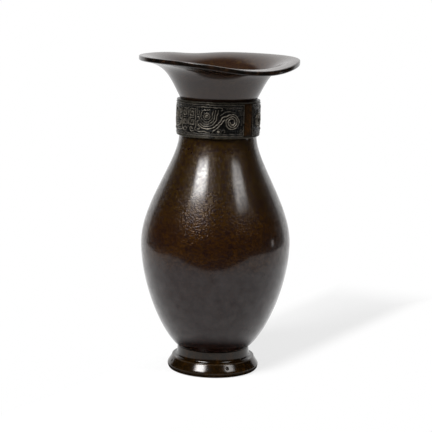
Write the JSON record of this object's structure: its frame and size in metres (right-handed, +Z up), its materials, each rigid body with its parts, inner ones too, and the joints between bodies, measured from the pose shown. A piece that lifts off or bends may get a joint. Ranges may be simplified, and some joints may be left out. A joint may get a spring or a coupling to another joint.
{
  "type": "bronze vase",
  "caption": "Baluster vase in dark patinated bronze with a ring foot, a relief collar round the neck and a flared mouth with a wavy lip, for standing flowers or display.",
  "frame": {"origin": "centre of the standing ring, on the surface that the vase stands on", "axes": "+Z up along the vase's axis, -Y towards the front of the picture, +X to the right"},
  "size_m": [0.1514, 0.1514, 0.3],
  "materials": {
    "patina_body": "dark brown polished bronze patina with mottled lighter spots",
    "patina_mouth": "dark brown polished bronze patina",
    "patina_collar": "dark grey-green satin bronze patina",
    "patina_relief": "dark grey-green satin patina, rubbed lighter on the raised lines",
    "patina_bar": "warm brown satin bronze patina",
    "patina_foot": "dark brown glossy bronze patina",
    "patina_plate": "dull dark brown cast bronze",
    "patina_pin": "dull blackened bronze"
  },
  "bodies": {
    "root": {"body": "patina_body", "mouth": "patina_mouth", "collar_ring": "patina_collar", "relief_panel_1": "patina_relief", "relief_panel_2": "patina_relief", "divider_bar_1": "patina_bar", "divider_bar_2": "patina_bar", "neck_pin_1": "patina_pin", "neck_pin_2": "patina_pin", "foot": "patina_foot", "base_plate": "patina_plate", "base_pin_1": "patina_pin", "base_pin_2": "patina_pin", "base_pin_3": "patina_pin", "base_pin_4": "patina_pin"}
  },
  "joints": []
}
